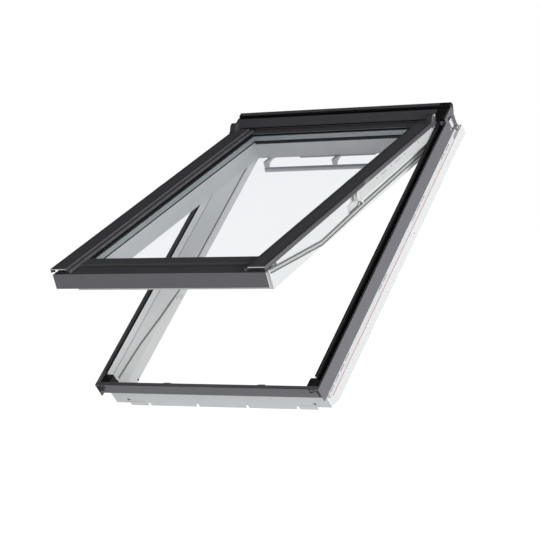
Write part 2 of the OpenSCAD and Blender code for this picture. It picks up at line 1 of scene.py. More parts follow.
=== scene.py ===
"""Studio scene of a top-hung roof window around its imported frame.

Shapes are worked out flat on the roof plane: X across, S up the slope, N out of the roof, in
millimetres, and then turned to the roof pitch. The sash and its arms are turned open as well.
"""

import json
import logging
import math
from dataclasses import dataclass, field
from enum import Enum
from typing import Any, Callable, Iterable, Sequence

import bmesh
import bpy
from mathutils import Matrix, Vector


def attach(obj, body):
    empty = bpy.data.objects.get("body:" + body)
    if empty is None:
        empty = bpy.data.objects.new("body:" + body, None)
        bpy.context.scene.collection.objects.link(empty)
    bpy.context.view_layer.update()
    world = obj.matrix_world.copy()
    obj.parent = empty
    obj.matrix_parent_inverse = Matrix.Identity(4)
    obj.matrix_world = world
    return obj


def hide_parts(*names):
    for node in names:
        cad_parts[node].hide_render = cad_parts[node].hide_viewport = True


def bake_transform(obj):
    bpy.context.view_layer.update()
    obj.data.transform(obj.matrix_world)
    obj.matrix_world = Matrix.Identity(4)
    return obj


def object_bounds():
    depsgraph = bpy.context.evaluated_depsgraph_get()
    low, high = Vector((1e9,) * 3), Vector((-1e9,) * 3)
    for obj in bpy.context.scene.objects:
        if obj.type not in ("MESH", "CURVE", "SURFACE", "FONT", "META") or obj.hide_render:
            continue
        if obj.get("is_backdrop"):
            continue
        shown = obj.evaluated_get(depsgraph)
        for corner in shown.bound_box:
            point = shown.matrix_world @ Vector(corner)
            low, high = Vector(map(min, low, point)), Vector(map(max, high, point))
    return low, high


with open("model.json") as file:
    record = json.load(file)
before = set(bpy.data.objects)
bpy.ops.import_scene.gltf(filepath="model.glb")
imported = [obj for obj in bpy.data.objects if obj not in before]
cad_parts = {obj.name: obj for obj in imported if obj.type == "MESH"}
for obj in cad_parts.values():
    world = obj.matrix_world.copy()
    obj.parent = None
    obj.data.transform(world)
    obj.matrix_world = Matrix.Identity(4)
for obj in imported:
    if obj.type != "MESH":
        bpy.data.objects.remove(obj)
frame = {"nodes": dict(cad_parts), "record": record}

LOG = logging.getLogger("roof_window")

MM = 0.001
PITCH = math.radians(45.0)
OPEN = math.radians(21.0)
ORIGIN_S = 41.5
DEPTH = 106.0
HINGE = (1057.0, -16.0)
SASH_OUT = 338.0
COVER_OUT = 368.4
STRIP_IN = 313.7
LIP_IN = 300.5
SMOOTH_UNDER = math.radians(35.0)

Point = tuple[float, float, float]
Pair = tuple[float, float]


class Side(Enum):
    """The two sides of the window."""

    LEFT = -1
    RIGHT = 1

    @property
    def word(self) -> str:
        """The side's name in piece names."""
        return self.name.lower()


class Place(Enum):
    """Where a piece is drawn: on the fixed frame, or on what opens with the sash."""

    FRAME = "frame"
    OPENED = "opened"

    @property
    def matrix(self) -> Matrix:
        """The transform from flat millimetres to the object's own frame in metres."""
        roof = (
            Matrix.Rotation(PITCH, 4, "X")
            @ Matrix.Translation((0.0, -ORIGIN_S, DEPTH))
        )
        if self is Place.OPENED:
            hinge = Vector((0.0, HINGE[0], HINGE[1]))
            roof = (
                roof
                @ Matrix.Translation(hinge)
                @ Matrix.Rotation(-OPEN, 4, "X")
                @ Matrix.Translation(-hinge)
            )
        return Matrix.Scale(MM, 4) @ roof


# ---- shader sockets as Python expressions ----


class Sock:
    """A shader socket that arithmetic can be written on."""

    def __init__(self, tree: "Tree", socket: Any) -> None:
        """Keeps the socket and the tree it is in.

        Args:
            tree: the material's node tree wrapper.
            socket: an output socket of one of its nodes.
        """
        self.tree = tree
        self.socket = socket

    def _math(self, operation: str, other: "Sock | float", swap: bool = False) -> "Sock":
        """One Math node on this socket and another value.

        Args:
            operation: the Math node's operation.
            other: the second value, a socket or a number.
            swap: whether the other value comes first.

        Returns:
            The node's result.
        """
        first, second = (other, self) if swap else (self, other)
        return self.tree.node("ShaderNodeMath", {"operation": operation}, {0: first, 1: second})

    def __add__(self, other: "Sock | float") -> "Sock":
        """The sum."""
        return self._math("ADD", other)

    def __radd__(self, other: float) -> "Sock":
        """The sum, with a number first."""
        return self._math("ADD", other, swap=True)

    def __sub__(self, other: "Sock | float") -> "Sock":
        """The difference."""
        return self._math("SUBTRACT", other)

    def __rsub__(self, other: float) -> "Sock":
        """The difference, with a number first."""
        return self._math("SUBTRACT", other, swap=True)

    def __mul__(self, other: "Sock | float") -> "Sock":
        """The product."""
        return self._math("MULTIPLY", other)

    def __rmul__(self, other: float) -> "Sock":
        """The product, with a number first."""
        return self._math("MULTIPLY", other, swap=True)

    def clamped(self, low: float, high: float) -> "Sock":
        """This value kept between two numbers."""
        return self._math("MAXIMUM", low)._math("MINIMUM", high)


class Tree:
    """A material's node tree, with one way to add any node."""

    def __init__(self, name: str) -> None:
        """Makes an empty material.

        Args:
            name: the material's name.
        """
        self.material = bpy.data.materials.new(name)
        self.material.use_nodes = True
        self.nodes = self.material.node_tree.nodes
        self.links = self.material.node_tree.links
        self.nodes.clear()

    def node(
        self,
        kind: str,
        settings: dict[str, Any] | None = None,
        inputs: dict[int | str, Any] | None = None,
        output: int | str = 0,
    ) -> Sock:
        """Adds a node, sets it up and feeds its sockets.

        Args:
            kind: the node's type.
            settings: the node's own settings. "stops" sets a ramp's positions and colours.
            inputs: values or links, by socket number or name.
            output: which output to return.

        Returns:
            The chosen output.
        """
        made = self.nodes.new(kind)
        for key, value in (settings or {}).items():
            if key == "stops":
                ramp = made.color_ramp
                while len(ramp.elements) < len(value):
                    ramp.elements.new(0.5)
                for element, (position, colour) in zip(ramp.elements, value):
                    element.position = position
                    element.color = colour
            else:
                setattr(made, key, value)
        for key, value in (inputs or {}).items():
            if isinstance(value, Sock):
                self.links.new(value.socket, made.inputs[key])
            else:
                made.inputs[key].default_value = value
        return Sock(self, made.outputs[output])

    def place(self) -> Sock:
        """Object coordinates."""
        return self.node("ShaderNodeTexCoord", output="Object")

    def noise(self, scale: float, detail: float = 3.0, stretch: Point = (1, 1, 1)) -> Sock:
        """Noise over the object.

        Args:
            scale: the noise's scale in cells a metre.
            detail: its octaves.
            stretch: how much each axis is stretched.

        Returns:
            The noise's value, about 0 to 1.
        """
        mapped = self.node("ShaderNodeMapping", {}, {0: self.place(), "Scale": stretch})
        return self.node(
            "ShaderNodeTexNoise", {}, {"Vector": mapped, "Scale": scale, "Detail": detail}
        )

    def mix(self, factor: Sock | float, first: Any, second: Any) -> Sock:
        """A blend of two colours.

        Args:
            factor: how much of the second.
            first: a colour or socket.
            second: a colour or socket.

        Returns:
            The blended colour.
        """
        return self.node(
            "ShaderNodeMix", {"data_type": "RGBA"}, {0: factor, 6: first, 7: second}, output=2
        )

    def bump(self, height: Sock, strength: float, distance: float) -> Sock:
        """A normal bumped by a height.

        Args:
            height: the height, about 0 to 1.
            strength: how strongly it shows.
            distance: its depth in metres.

        Returns:
            The normal.
        """
        return self.node(
            "ShaderNodeBump", {}, {"Strength": strength, "Distance": distance, "Height": height}
        )

    def surface(self, shader: Sock) -> bpy.types.Material:
        """Makes a shader the material's surface, and returns the material."""
        out = self.nodes.new("ShaderNodeOutputMaterial")
        self.links.new(shader.socket, out.inputs["Surface"])
        return self.material


def rgba(colour: Sequence[float]) -> tuple[float, float, float, float]:
    """A colour with full alpha."""
    return (colour[0], colour[1], colour[2], 1.0)


@dataclass(frozen=True)
class Finish:
    """A painted, moulded or plated finish.

    Its colour drifts a little over the surface, and its gloss and grain follow noise of their own.
    """

    name: str
    colour: tuple[float, float, float]
    drift: float = 0.04
    roughness: float = 0.45
    rough_drift: float = 0.08
    metallic: float = 0.0
    grain: float = 900.0
    grain_depth: float = 0.00003
    grain_strength: float = 0.15
    stretch: Point = (1.0, 1.0, 1.0)
    coat: float = 0.0
    specular: float = 0.5

    def build(self) -> bpy.types.Material:
        """Makes the material."""
        tree = Tree(self.name)
        broad = tree.noise(6.0, 2.0)
        fine = tree.noise(self.grain, 3.0, self.stretch)
        low = rgba([max(0.0, c * (1.0 - self.drift)) for c in self.colour])
        high = rgba([min(1.0, c * (1.0 + self.drift)) for c in self.colour])
        colour = tree.mix((broad * 0.6 + fine * 0.4).clamped(0.0, 1.0), low, high)
        rough = (self.roughness + (fine - 0.5) * self.rough_drift * 1.4 + (broad - 0.5) *
                 self.rough_drift).clamped(0.03, 1.0)
        shader = tree.node(
            "ShaderNodeBsdfPrincipled",
            {},
            {
                "Base Color": colour,
                "Roughness": rough,
                "Metallic": self.metallic,
                "Specular IOR Level": self.specular,
                "Coat Weight": self.coat,
                "Coat Roughness": 0.12,
                "Normal": tree.bump(fine, self.grain_strength, self.grain_depth),
            },
        )
        return tree.surface(shader)


@dataclass(frozen=True)
class GlassFinish:
    """Clear float glass that lets the lamps through."""

    name: str
    tint: tuple[float, float, float] = (0.990, 0.994, 1.0)
    roughness: float = 0.004
    gloss: float = 0.012
    slant_gloss: float = 0.14

    def build(self) -> bpy.types.Material:
        """Makes the material."""
        tree = Tree(self.name)
        haze = tree.noise(3.0, 2.0)
        through = tree.node("ShaderNodeBsdfTransparent", {}, {"Color": rgba(self.tint)})
        mirror = tree.node(
            "ShaderNodeBsdfAnisotropic", {}, {"Color": (0.95, 0.98, 1.0, 1.0),
                                              "Roughness": self.roughness}
        )
        slant = tree.node("ShaderNodeLayerWeight", {}, {"Blend": 0.5}, output="Facing")
        share = tree.node("ShaderNodeMath", {"operation": "POWER"}, {0: slant, 1: 5.0})
        shader = tree.node(
            "ShaderNodeMixShader",
            {},
            {0: share * self.slant_gloss + haze * self.gloss, 1: through, 2: mirror},
        )
        return tree.surface(shader)


class Look(Enum):
    """The finishes of the window's pieces."""

    WHITE = Finish("white_moulding", (0.85, 0.86, 0.865), 0.012, 0.42, 0.06, grain=1400.0)
    WHITE_FITTING = Finish("white_fitting", (0.78, 0.79, 0.80), 0.015, 0.35, 0.05)
    WHITE_BAR = Finish("white_coated_bar", (0.72, 0.74, 0.76), 0.015, 0.3, 0.05, coat=0.2)
    COVER = Finish("dark_grey_cover", (0.185, 0.18, 0.20), 0.05, 0.42, 0.08, grain=2200.0,
                   grain_strength=0.1, coat=0.12)
    COVER_DEEP = Finish("dark_grey_shadow_gap", (0.006, 0.006, 0.007), 0.1, 0.6, 0.1)
    # a darker grey for the ears and the plate rims, and painted shade on the covers' outer side
    # faces
    COVER_EDGE = Finish("darker_grey_and_painted_side_shade", (0.10, 0.098, 0.108), 0.06, 0.4, 0.08)
    # painted shade: the curved groove on the frame's inner faces and the round holes in the arms
    GREY_LINE = Finish("grey_painted_groove_and_hole_shade", (0.33, 0.33, 0.325), 0.05, 0.6, 0.08)
    GREY_LINE_PALE = Finish("pale_grey_bead", (0.55, 0.555, 0.555), 0.03, 0.5, 0.06)
    RED_LINE = Finish("red_marking", (0.62, 0.16, 0.15), 0.05, 0.5, 0.08)
    BLACK = Finish("black_moulding", (0.012, 0.012, 0.013), 0.1, 0.5, 0.1)
    RUBBER = Finish("black_rubber", (0.008, 0.008, 0.009), 0.15, 0.62, 0.1, grain=700.0,
                    grain_strength=0.25)
    GREY_RUBBER = Finish("grey_seal", (0.16, 0.165, 0.17), 0.08, 0.6, 0.1)
    ZINC = Finish("bright_zinc", (0.78, 0.79, 0.79), 0.03, 0.42, 0.08, metallic=0.25, grain=500.0,
                  grain_strength=0.06, stretch=(1.0, 14.0, 14.0))
    SPRING = Finish("oiled_spring", (0.30, 0.30, 0.31), 0.1, 0.35, 0.12, metallic=1.0)
    GRIP = Finish("satin_aluminium", (0.74, 0.75, 0.76), 0.03, 0.3, 0.08, metallic=0.9,
                  stretch=(14.0, 1.0, 1.0))
    SPACER = Finish("grey_spacer", (0.50, 0.54, 0.55), 0.05, 0.4, 0.08, metallic=0.3)
    GLASS = GlassFinish("window_glass")

    @property
    def slot(self) -> str:
        """The record's slot for this finish."""
        return SLOTS[self.name]


SLOTS: dict[str, str] = {
    "WHITE": "white_frame",
    "WHITE_FITTING": "white_plastic",
    "WHITE_BAR": "white_bar",
    "COVER": "grey_cover",
    "COVER_DEEP": "grey_cover",
    "COVER_EDGE": "grey_cover",
    "GREY_LINE": "grey_rubber",
    "GREY_LINE_PALE": "grey_rubber",
    "RED_LINE": "grey_rubber",
    "BLACK": "black_plastic",
    "RUBBER": "black_rubber",
    "GREY_RUBBER": "grey_rubber",
    "ZINC": "zinc_steel",
    "SPRING": "spring_steel",
    "GRIP": "grip_metal",
    "SPACER": "spacer_metal",
    "GLASS": "glass",
}


class Paint:
    """Holds each finish's material, made once."""

    def __init__(self) -> None:
        """Starts with nothing made."""
        self.made: dict[str, bpy.types.Material] = {}

    def of(self, look: Look) -> bpy.types.Material:
        """The material of a finish.

        Args:
            look: the finish.

        Returns:
            Its material.
        """
        if look.name not in self.made:
            self.made[look.name] = look.value.build()
        return self.made[look.name]


# ---- shaping ----


class Shape:
    """A bmesh drawn in flat millimetres."""

    def __init__(self) -> None:
        """Starts empty."""
        self.bm = bmesh.new()

    def box(self, x: Pair, s: Pair, n: Pair, bevel: float = 0.0, segments: int = 2) -> "Shape":
        """Adds a box with bevelled edges.

        Args:
            x: its two sides.
            s: its two ends up the slope.
            n: its bottom and top.
            bevel: the bevel's width.
            segments: the bevel's steps.

        Returns:
            This shape.
        """
        size = Vector((x[1] - x[0], s[1] - s[0], n[1] - n[0]))
        middle = Vector(((x[0] + x[1]) / 2, (s[0] + s[1]) / 2, (n[0] + n[1]) / 2))
        made = bmesh.ops.create_cube(self.bm, size=1.0)["verts"]
        bmesh.ops.scale(self.bm, vec=size, verts=made)
        bmesh.ops.translate(self.bm, vec=middle, verts=made)
        if bevel > 0:
            edges = list({e for v in made for e in v.link_edges})
            self.soften(edges, bevel, segments)
        return self

    def soften(self, edges: list[Any], width: float, segments: int = 2) -> None:
        """Bevels some edges.

        Args:
            edges: the edges.
            width: the bevel's width.
            segments: the bevel's steps.
        """
        bmesh.ops.bevel(
            self.bm, geom=edges, offset=width, offset_type="OFFSET", segments=segments,
            profile=0.5, affect="EDGES", material=-1, clamp_overlap=True,
        )

    def disc(
        self, centre: Point, radius: float, length: float, axis: str = "X", steps: int = 24,
        bevel: float = 0.0, tip: float | None = None,
    ) -> "Shape":
        """Adds a round bar or a cone along an axis, from its centre.

        Args:
            centre: the middle of the bar.
            radius: its radius.
            length: its length.
            axis: "X", "S" or "N".
            steps: the sides of the circle.
            bevel: the bevel of its ends.
            tip: the radius at the far end, if it differs.

        Returns:
            This shape.
        """
        made = bmesh.ops.create_cone(
            self.bm, cap_ends=True, segments=steps, radius1=radius,
            radius2=radius if tip is None else tip, depth=length,
        )["verts"]
        turn = {"X": Matrix.Rotation(math.pi / 2, 3, "Y"), "S": Matrix.Rotation(
            -math.pi / 2, 3, "X"), "N": Matrix.Identity(3)}[axis]
        bmesh.ops.rotate(self.bm, matrix=turn, verts=made)
        bmesh.ops.translate(self.bm, vec=Vector(centre), verts=made)
        if bevel > 0:
            rims = [e for e in {e for v in made for e in v.link_edges}
                    if any(len(f.verts) > 4 for f in e.link_faces)]
            self.soften(rims, bevel, 2)
        return self

    def prism(
        self, outline: Sequence[Pair], start: float, end: float, axis: str = "X",
        bevel: float = 0.0,
    ) -> "Shape":
        """Adds an outline drawn out along an axis.

        Args:
            outline: points of [S, N] for axis X, [X, N] for axis S, or [X, S] for axis N.
            start: where it starts along the axis.
            end: where it ends.
            axis: "X", "S" or "N".
            bevel: the bevel of all its edges.

        Returns:
            This shape.
        """
        place: dict[str, Callable[[Pair], Point]] = {
            "X": lambda p: (start, p[0], p[1]),
            "S": lambda p: (p[0], start, p[1]),
            "N": lambda p: (p[0], p[1], start),
        }
        along = {"X": (1, 0, 0), "S": (0, 1, 0), "N": (0, 0, 1)}[axis]
        verts = [self.bm.verts.new(place[axis](p)) for p in outline]
        face = self.bm.faces.new(verts)
        raised = bmesh.ops.extrude_face_region(self.bm, geom=[face])["geom"]
        top = [g for g in raised if isinstance(g, bmesh.types.BMVert)]
        bmesh.ops.translate(self.bm, vec=Vector(along) * (end - start), verts=top)
        whole = list({f for v in verts + top for f in v.link_faces})
        bmesh.ops.recalc_face_normals(self.bm, faces=whole)
        if bevel > 0:
            self.soften(list({e for f in whole for e in f.edges}), bevel, 2)
        return self

    def sweep(self, path: Sequence[Point], radius: float, steps: int = 8) -> "Shape":
        """Adds a round rod along a path.

        Args:
            path: the points it runs through.
            radius: the rod's radius.
            steps: the sides of its section.

        Returns:
            This shape.
        """
        points = [Vector(p) for p in path]
        rings: list[list[Any]] = []
        for i, point in enumerate(points):
            ahead = points[min(i + 1, len(points) - 1)] - points[max(i - 1, 0)]
            turn = Vector((0, 0, 1)).rotation_difference(ahead.normalized()).to_matrix()
            ring = bmesh.ops.create_circle(self.bm, cap_ends=False, segments=steps,
                                           radius=radius)["verts"]
            bmesh.ops.rotate(self.bm, matrix=turn, verts=ring)
            bmesh.ops.translate(self.bm, vec=point, verts=ring)
            rings.append(ring)
        loops = [list({e for v in ring for e in v.link_edges}) for ring in rings]
        for first, second in zip(loops, loops[1:]):
            bmesh.ops.bridge_loops(self.bm, edges=first + second)
        for ring in (rings[0], rings[-1]):
            bmesh.ops.contextual_create(self.bm, geom=ring)
        bmesh.ops.recalc_face_normals(self.bm, faces=self.bm.faces)
        return self

    def mirrored(self) -> "Shape":
        """Adds a copy of everything on the other side of the window, and returns this shape."""
        geometry = self.bm.verts[:] + self.bm.edges[:] + self.bm.faces[:]
        copy = bmesh.ops.duplicate(self.bm, geom=geometry)["geom"]
        verts = [g for g in copy if isinstance(g, bmesh.types.BMVert)]
        faces = [g for g in copy if isinstance(g, bmesh.types.BMFace)]
        bmesh.ops.scale(self.bm, vec=Vector((-1, 1, 1)), verts=verts)
        bmesh.ops.reverse_faces(self.bm, faces=faces)
        return self


@dataclass
class Workshop:
    """Turns shapes into finished pieces."""

    paint: Paint
    pieces: list[bpy.types.Object] = field(default_factory=list)

    def make(
        self, name: str, shape: Shape, look: Look, body: str | None, place: Place,
        replaces: Iterable[str] = (), smooth: bool = True,
    ) -> bpy.types.Object:
        """Finishes a piece and sets it on its body.

        Args:
            name: the piece's name.
            shape: its bmesh in flat millimetres.
            look: its finish.
            body: the body it rides on, or None to leave it on no body.
            place: whether it opens with the sash.
            replaces: the frame's nodes that it stands for.
            smooth: whether its gentle edges are smoothed.

        Returns:
            The piece.
        """
        mesh = bpy.data.meshes.new(name)
        bmesh.ops.transform(shape.bm, matrix=place.matrix, verts=shape.bm.verts)
        shape.bm.to_mesh(mesh)
        shape.bm.free()
        piece = bpy.data.objects.new(name, mesh)
        bpy.context.scene.collection.objects.link(piece)
        mesh.materials.append(self.paint.of(look))
        if smooth:
            mesh.shade_smooth()
            mesh.set_sharp_from_angle(angle=SMOOTH_UNDER)
        if body is not None:
            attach(piece, body)
        if replaces:
            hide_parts(*replaces)
        self.pieces.append(piece)
        LOG.info("made %s: %d faces on %s", name, len(mesh.polygons), body)
        return piece


def dress(paint: Paint) -> None:
    """Gives every node of the frame its finish.

    Args:
        paint: the materials.
    """
    looks = {look.slot: look for look in reversed(Look)}
    slots = {p["node"]: p["material_slot"] for p in frame["record"]["subparts"]}
    for name, node in frame["nodes"].items():
        node.data.materials.clear()
        node.data.materials.append(paint.of(looks[slots[name]]))
        LOG.info("dressed %s in %s", name, slots[name])


# ---- pieces on the frame ----


@dataclass
class FrameDetails:
    """Lines, painted shade of the inner groove and the sill holes, pins and caps on the fixed
    frame.
    """

    shop: Workshop
    groove: tuple[Point, ...] = (
        (354.9, 61.4, -39.1), (353.2, 135.0, -42.9), (351.4, 202.5, -47.0), (348.4, 266.0, -53.8),
        (345.2, 327.0, -60.9), (342.4, 400.0, -67.3), (342.0, 448.0, -72.6), (342.0, 560.0, -76.0),
        (342.0, 1090.0, -76.0),
    )
    groove_r: float = 3.0
    sill_hole_x: float = 328.0
    sill_hole_n: float = -92.0
    pin: Point = (341.4, 110.3, -102.0)
    mark_s: Pair = (40.0, 1088.0)
    rib_s: Pair = (60.0, 1036.0)
    rib_foot: tuple[Pair, ...] = (
        (362.6, -21.6), (362.6, -17.6), (361.6, -18.6), (361.6, -21.6)
    )
    corner: tuple[Pair, ...] = (
        (344.0, 13.0), (350.5, 0.6), (377.5, 0.6), (377.5, 34.0), (367.0, 43.0), (346.0, 42.6),
        (344.0, 37.0),
    )
    fold: tuple[Pair, ...] = ((366.0, 0.5), (372.0, 0.5), (379.0, -8.0), (379.0, -14.0))

    def inner_grooves(self) -> None:
        """Lays a grey rod along the curved groove of both inner faces, its grey painting the
        groove's shade.
        """
        shape = Shape().sweep(self.groove, self.groove_r, 10).mirrored()
        self.shop.make("inner_groove_lines", shape, Look.GREY_LINE, "frame", Place.FRAME)

    def edge_marks(self) -> None:
        """Lays the thin red marking line below the edge rails."""
        shape = Shape().box((388.2, 389.2), self.mark_s, (-73.3, -71.9)).mirrored()
        self.shop.make("edge_marks", shape, Look.RED_LINE, "frame", Place.FRAME)

    def hole_shades_and_pins(self) -> None:
        """Paints the shade of each sill hole with a black disc and a small black bar beside it,
        and puts a pin near the sill on both inner faces.
        """
        x, n = self.sill_hole_x, self.sill_hole_n
        shape = Shape().disc((x, 22.9, n), 3.2, 1.6, "S", 20, 0.3)
        shape.box((x - 8.5, x - 4.0), (22.4, 23.2), (n - 0.8, n + 1.0), 0.2).mirrored()
        self.shop.make("sill_hole_shades", shape, Look.BLACK, "frame", Place.FRAME)
        pin = Shape().disc(self.pin, 3.4, 2.4, "X", 20, 0.4).mirrored()
        self.shop.make("face_pins", pin, Look.BLACK, "frame", Place.FRAME)

    def rib_seals(self) -> None:
        """Lays a fine seal at the foot of each upstand."""
        shape = Shape().prism(self.rib_foot, *self.rib_s, "S").mirrored()
        self.shop.make("rib_foot_seals", shape, Look.GREY_LINE_PALE, "frame", Place.FRAME)

    def corner_caps(self) -> None:
        """Fills the lower corners of the flange with black end pieces, longer on the left."""
        shape = Shape().box((381.5, 387.0), (-3.7, -2.6), (-30.0, -4.0), 0.3)
        shape.box((357.0, 362.5), (-3.7, -2.0), (-6.5, 0.4), 0.3)
        shape.prism(self.fold, -3.4, -2.8, "S").mirrored()
        shape.box((-386.6, -366.0), (-3.7, -2.6), (-26.0, -5.0), 0.3)
        self.shop.make("flange_corner_caps", shape, Look.BLACK, "frame", Place.FRAME)

    def corner_covers(self) -> None:
        """Covers the corner blocks with black mouldings out to the side covers."""
        shape = Shape().prism(self.corner, -14.0, -2.4, "N", 0.8)
        shape.box((352.0, 357.0), (12.0, 30.0), (-2.6, -1.6), 0.4).mirrored()
        self.shop.make("corner_covers", shape, Look.BLACK, "frame", Place.FRAME)

    def build(self) -> None:
        """Makes all of them."""
        self.corner_covers()
        self.inner_grooves()
        self.edge_marks()
        self.hole_shades_and_pins()
        self.rib_seals()
        self.corner_caps()


@dataclass
class HoodDetails:
    """Painted shade lines and end parts of the hood."""

    shop: Workshop
    front: float = 1094.0
    half: float = 383.0
    groove: Pair = (1137.0, 1146.0)
    top: Pair = (18.0, 20.0)
    rim_x: float = 389.9
    window: tuple[Pair, ...] = ((1105.0, 5.0), (1128.0, -6.0), (1128.0, -46.0), (1102.0, -40.0))
    rim: tuple[Pair, ...] = (
        (1150.0, 13.0), (1150.0, -4.0), (1143.0, -8.0), (1136.0, -38.0), (1136.0, -63.0)
    )

    def painted_shade_lines(self) -> None:
        """Paints shade into the water groove and paints two dark shadow lines across the front
        face.
        """
        low, high = self.groove
        front = (self.front - 0.5, self.front + 0.2)
        # each strip is near-black painted shade: the groove's floor, walls and lips, then two
        # shadow lines across the front face
        strips: list[tuple[Pair, Pair, float]] = [
            ((low + 0.3, high - 0.3), (3.9, 4.6), 0.1),
            ((high - 0.7, high + 0.2), (4.2, 20.1), 0.1),
            ((high - 0.3, high + 3.2), (19.8, 20.3), 0.1),
            ((low - 2.5, low + 0.3), (17.8, 18.3), 0.1),
            (front, (11.0, 15.5), 0.15),
            (front, (4.0, 7.0), 0.15),
        ]
        shape = Shape()
        for s, n, bevel in strips:
            shape.box((-self.half, self.half), s, n, bevel)
        self.shop.make("hood_painted_shade_lines", shape, Look.COVER_DEEP, "frame", Place.FRAME)

    def end_cap(self) -> None:
        """Covers the closed end of the hood with a black moulded cap."""
        low, high = self.groove
        front, back, lift = self.front, 1160.5, 0.5
        outside = [(front - lift, 4.0), (front - lift, self.top[0] + lift),
                   (low, self.top[0] + lift), (low + 1.0, 5.0), (high - 1.0, 5.0),
                   (high - lift, self.top[1] + lift), (back, self.top[1] + lift)]
        inside = [(back, 19.4), (high, 19.4), (high - 1.0, 4.2), (low + 0.5, 4.2),
                  (low - 0.2, 17.6), (front, 17.6), (front, 4.0)]
        shape = Shape().prism(outside + inside, 351.0, 388.3, "X", 0.1)
        self.shop.make("hood_end_skin", shape, Look.BLACK, "frame", Place.FRAME)

    def plate_rims(self) -> None:
        """Edges the end plates and their windows, with a white pad behind each window."""
        dark = Shape().sweep([(self.rim_x, s, n) for s, n in self.rim], 1.5, 8)
        loop = [(self.rim_x, s, n) for s, n in self.window]
        dark.sweep(loop + loop[:1], 1.0, 8)
        dark.mirrored()
        self.shop.make("end_plate_rims", dark, Look.COVER_EDGE, "frame", Place.FRAME)
        pad = Shape().box((384.5, 385.5), (1098.0, 1131.0), (-52.0, 2.0), 0.3).mirrored()
        self.shop.make("end_plate_pads", pad, Look.WHITE, "frame", Place.FRAME)

    def build(self) -> None:
        """Makes all of them."""
        self.painted_shade_lines()
        self.end_cap()
        self.plate_rims()


# ---- pieces on the arms and the sash ----


def cover_side_shade(s: Pair) -> Shape:
    """A thin darker sheet down the outer side face of both side covers, painting shade on that
    side.

    Args:
        s: its two ends up the slope.

    Returns:
        Its shape.
    """
    return Shape().box((COVER_OUT - 0.1, COVER_OUT + 0.5), s, (19.3, 31.2), 0.1).mirrored()


def cover_lines(s: Pair) -> Shape:
    """The two pressed lines along the top of both side covers, as near-black strips of painted
    groove shade.

    Args:
        s: their two ends up the slope.

    Returns:
        Their shape.
    """
    shape = Shape().box((COVER_OUT - 6.5, COVER_OUT - 5.3), s, (31.8, 32.12))
    return shape.box((STRIP_IN + 5.0, STRIP_IN + 5.9), s, (31.8, 32.12)).mirrored()


@dataclass
class ArmDetails:
    """Springs, ears, shoes, painted side shade and pressed lines on the covers, and small metal
    parts that ride on the arms.
    """

    shop: Workshop
    spring_x: float = 352.0
    spring_s: Pair = (628.0, 987.0)
    spring_r: float = 5.2
    pitch: float = 5.2
    steps: int = 12
    upper_s: float = 612.5
    rivet_s: tuple[float, ...] = (640.0, 705.0, 800.0, 896.0, 968.0, 1008.0)
    hole_s: tuple[float, ...] = (668.0, 760.0, 852.0, 944.0)
    slot_s: tuple[float, ...] = (692.0, 784.0)
    slot_l: float = 38.0
    ear: tuple[Pair, ...] = (
        (1022.0, 31.0), (1032.0, 38.0), (1037.0, 46.0), (1042.0, 52.0), (1048.0, 55.5),
        (1055.0, 55.5), (1060.0, 52.0), (1061.0, 46.0), (1060.0, 38.0), (1057.0, 31.0),
    )
    shoe: tuple[Pair, ...] = (
        (540.0, -9.0), (544.0, 6.0), (551.0, 15.0), (560.5, 17.2), (560.5, -17.2), (548.0, -17.2)
    )

    def springs(self) -> None:
        """Winds the balance springs in place of the plain bars."""
        start, end = self.spring_s
        coil = []
        for i in range(int((end - start) / self.pitch * self.steps)):
            turn = math.tau * i / self.steps
            coil.append((self.spring_x + self.spring_r * math.cos(turn),
                         start + self.pitch * i / self.steps, self.spring_r * math.sin(turn)))
        shape = Shape().sweep(coil, 0.9, 6).mirrored()
        self.shop.make("balance_coils", shape, Look.SPRING, "arms", Place.OPENED,
                       ["balance_springs"])

    def ears(self) -> None:
        """Adds a rounded moulding over the hinge end of each cover, with its screw."""
        shape = Shape().prism(self.ear, 348.0, 371.0, "X", 2.4).mirrored()
        self.shop.make("hinge_ears", shape, Look.COVER_EDGE, "arms", Place.OPENED,
                       ["cover_cap_left", "cover_cap_right"])
        screw = Shape().disc((371.6, 1052.0, 48.5), 3.6, 1.6, "X", 20, 0.4).mirrored()
        self.shop.make("ear_screws", screw, Look.ZINC, "arms", Place.OPENED, ["cap_screws"])

    def shoes(self) -> None:
        """Closes the lower end of each arm with a plated shoe."""
        shape = Shape().prism(self.shoe, 345.2, 359.6, "X", 1.0).mirrored()
        self.shop.make("arm_shoes", shape, Look.ZINC, "arms", Place.OPENED)

    def side_shade_and_lines(self) -> None:
        """Lays the painted side shade and the pressed lines, in painted groove shade, along each
        upper cover.
        """
        self.shop.make("upper_cover_side_shade", cover_side_shade((self.upper_s, 1056.5)), Look.COVER_EDGE,
                       "arms", Place.OPENED)
        self.shop.make("upper_cover_lines", cover_lines((self.upper_s, 1018.0)), Look.COVER_DEEP,
                       "arms", Place.OPENED)

    def rivets(self) -> None:
        """Adds rivet heads along each arm."""
        shape = Shape()
        for s in self.rivet_s:
            shape.disc((360.4, s, -9.0), 3.0, 1.4, "X", 16, 0.3)
        shape.mirrored()
        self.shop.make("arm_rivets", shape, Look.ZINC, "arms", Place.OPENED)

    def hole_fillings(self) -> None:
        """Paints the shade of the round holes with grey discs, and closes the slots in each arm's
        outer face.
        """
        shade = Shape()
        for s in self.hole_s:
            shade.disc((360.15, s, 5.0), 2.4, 0.5, "X", 16)
        shade.mirrored()
        self.shop.make("arm_hole_shade_discs", shade, Look.GREY_LINE, "arms", Place.OPENED)
        plate = Shape()
        for s in self.slot_s:
            plate.box((357.2, 359.2), (s + 0.4, s + self.slot_l - 0.4), (3.4, 6.6), 0.3)
        plate.mirrored()
        self.shop.make("arm_slot_plates", plate, Look.GREY_LINE_PALE, "arms", Place.OPENED)

    def build(self) -> None:
        """Makes all of them."""
        self.springs()
        self.ears()
        self.shoes()
        self.side_shade_and_lines()
        self.rivets()
        self.hole_fillings()


